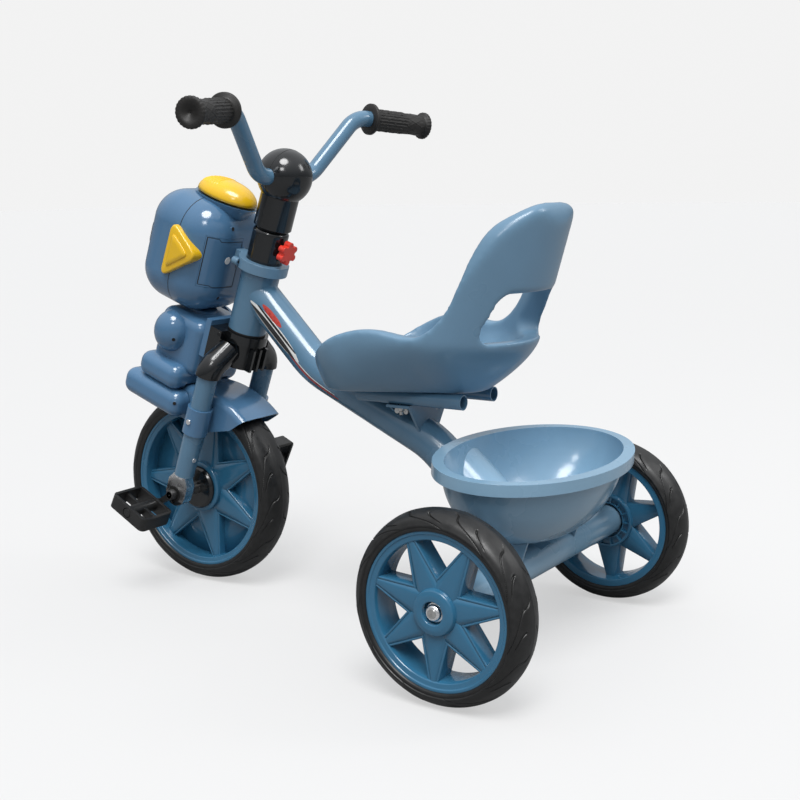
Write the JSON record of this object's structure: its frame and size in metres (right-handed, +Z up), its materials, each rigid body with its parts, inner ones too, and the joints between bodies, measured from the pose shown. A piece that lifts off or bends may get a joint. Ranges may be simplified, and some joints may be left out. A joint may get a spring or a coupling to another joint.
{
  "type": "children's tricycle",
  "caption": "Pedal tricycle for a small child: bent tube frame, bucket seat with a hand hole, rear basket, rising handlebar and a music box with lamps in front of the stem.",
  "frame": {"origin": "on the ground, in the middle of the length and of the width", "axes": "+X forward, +Y the rider's left, +Z up"},
  "size_m": [0.71, 0.4504, 0.6106],
  "materials": {
    "blue_moulding": "smooth semi-gloss moulded plastic",
    "blue_paint": "gloss powder coat",
    "blue_rim": "glossy moulded plastic",
    "tyre": "satin moulded tread",
    "black_moulding": "glossy moulded plastic",
    "black_grip": "matt ribbed soft plastic",
    "black_bush": "plain bearing plastic",
    "zinc": "bright zinc plate",
    "chrome": "polished chrome",
    "yellow": "glossy moulded plastic",
    "red": "glossy moulded plastic",
    "dark_panel": "smooth tinted plastic",
    "inner": "unpainted inner piece"
  },
  "bodies": {
    "frame": {"main_tube": "blue_paint", "head_tube": "blue_paint", "head_bushes": "black_bush", "rear_axle_tube": "blue_paint", "axle_bushes": "black_bush", "rear_axle": "zinc", "axle_washers": "zinc", "axle_nuts": "chrome", "seat": "blue_moulding", "seat_rails": "blue_paint", "seat_bracket": "blue_paint", "seat_bolts": "chrome", "basket": "blue_moulding", "basket_brackets": "blue_moulding"},
    "front_wheel": {"front_rim": "blue_rim", "front_tyre": "tyre", "front_hub_caps": "black_moulding", "crank_axle": "zinc", "left_crank_arm": "black_moulding", "right_crank_arm": "black_moulding"},
    "left_pedal": {"left_pedal": "black_moulding"},
    "right_pedal": {"right_pedal": "black_moulding"},
    "rear_left_wheel": {"rear_left_rim": "blue_rim", "rear_left_tyre": "tyre", "rear_left_bush": "black_bush"},
    "rear_right_wheel": {"rear_right_rim": "blue_rim", "rear_right_tyre": "tyre", "rear_right_bush": "black_bush"},
    "clamp_knob": {"clamp_knob": "red"},
    "top_button": {"top_button": "yellow"},
    "steering": {"battery_box": "inner", "battery_door": "blue_moulding", "body_front_shell": "blue_moulding", "body_rear_shell": "blue_moulding", "circuit_board": "inner", "clamp_ring": "blue_moulding", "dropout_bushes": "black_bush", "fork_crown": "black_moulding", "fork_dropouts": "chrome", "fork_screws": "chrome", "front_visor": "dark_panel", "handlebar": "blue_paint", "head_front_shell": "blue_moulding", "head_rear_shell": "blue_moulding", "left_fork_leg": "blue_paint", "left_grip": "black_grip", "mudguard": "blue_moulding", "right_fork_leg": "blue_paint", "right_grip": "black_grip", "shoulder_pods": "blue_moulding", "side_lamps": "yellow", "speaker": "dark_panel", "steerer_tube": "zinc", "stem_ball_front": "black_moulding", "stem_ball_rear": "black_moulding", "stem_collar": "black_moulding", "stem_cover": "black_moulding", "stem_post": "zinc"}
  },
  "joints": [
    {"name": "steering_turn", "type": "hinge", "parent": "frame", "child": "steering", "pos_m": [0.23, 0, 0.125], "axis": [-0.3437, 0, 0.9391], "range_deg": [-40, 40]},
    {"name": "front_wheel_spin", "type": "hinge", "parent": "steering", "child": "front_wheel", "pos_m": [0.23, 0, 0.125], "axis": [0, 1, 0], "continuous": true},
    {"name": "left_pedal_spin", "type": "hinge", "parent": "front_wheel", "child": "left_pedal", "pos_m": [0.254, 0.098, 0.11058], "axis": [0, 1, 0], "continuous": true},
    {"name": "right_pedal_spin", "type": "hinge", "parent": "front_wheel", "child": "right_pedal", "pos_m": [0.206, -0.098, 0.13942], "axis": [0, 1, 0], "continuous": true},
    {"name": "rear_left_spin", "type": "hinge", "parent": "frame", "child": "rear_left_wheel", "pos_m": [-0.255, 0.192, 0.1], "axis": [0, 1, 0], "continuous": true},
    {"name": "rear_right_spin", "type": "hinge", "parent": "frame", "child": "rear_right_wheel", "pos_m": [-0.255, -0.192, 0.1], "axis": [0, 1, 0], "continuous": true},
    {"name": "clamp_knob_turn", "type": "hinge", "parent": "steering", "child": "clamp_knob", "pos_m": [0.09018, 0, 0.43056], "axis": [0.9391, 0, 0.3437], "range_deg": [-170, 170]},
    {"name": "top_button_press", "type": "slide", "parent": "steering", "child": "top_button", "axis": [-0.3437, 0, 0.9391], "range_m": [-0.0025, 0], "stiffness_N_per_m": 300}
  ]
}
